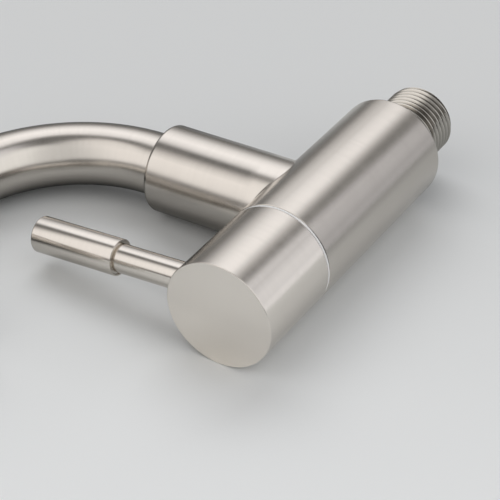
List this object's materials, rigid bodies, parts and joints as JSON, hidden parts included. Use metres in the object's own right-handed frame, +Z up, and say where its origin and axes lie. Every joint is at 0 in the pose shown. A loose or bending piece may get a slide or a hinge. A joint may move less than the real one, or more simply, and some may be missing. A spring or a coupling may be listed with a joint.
{
  "type": "cold water tap",
  "caption": "Wall-mounted cold tap in brushed stainless steel: threaded inlet, quarter-turn pin-lever handle on the front and a swivelling swan-neck spout.",
  "frame": {"origin": "centre of the barrel's rear face, on the axis of the inlet thread, where the tap meets the wall outlet", "axes": "+Y along the inlet thread into the wall, -Y towards the user, +Z up along the branch and the spout's rise, +X to the user's right"},
  "size_m": [0.0312, 0.1578, 0.1214],
  "materials": {
    "brushed_stainless": "fine brushed",
    "thread_steel": "turned",
    "brass": "machined",
    "ceramic": "lapped ceramic",
    "white_nylon": "smooth",
    "black_rubber": "matt",
    "screw_steel": "plain",
    "wire_cloth": "woven wire",
    "jet_plastic": "moulded"
  },
  "bodies": {
    "root": {"tap_body": "brushed_stainless", "inlet_nipple": "thread_steel", "slip_ring": "white_nylon", "seat_washer": "black_rubber", "headwork_housing": "brass", "headwork_o_ring": "black_rubber", "fixed_disc": "ceramic", "spout_bearing_ring": "white_nylon", "spout_lock_screw": "screw_steel"},
    "handle": {"handle_cap": "brushed_stainless", "spline_bush": "brass", "handle_set_screw": "screw_steel", "lever_rod": "brushed_stainless", "lever_grip": "brushed_stainless", "spindle": "brass", "spindle_o_rings": "black_rubber", "spindle_clip": "screw_steel", "thrust_washer": "white_nylon", "moving_disc": "ceramic"},
    "spout": {"spout_tube": "brushed_stainless", "spout_spigot": "brass", "spout_slide_ring": "white_nylon", "spout_o_rings": "black_rubber", "outlet_collar": "brushed_stainless", "aerator_shell": "brushed_stainless", "aerator_screen": "wire_cloth", "aerator_insert": "jet_plastic", "aerator_washer": "black_rubber"}
  },
  "joints": [
    {"name": "handle_turn", "type": "hinge", "parent": "root", "child": "handle", "pos_m": [0, -0.0813, 0], "axis": [0, -1, 0], "range_deg": [0, 90]},
    {"name": "spout_swivel", "type": "hinge", "parent": "root", "child": "spout", "pos_m": [0, -0.0405, 0.0498], "axis": [0, 0, 1], "continuous": true}
  ]
}
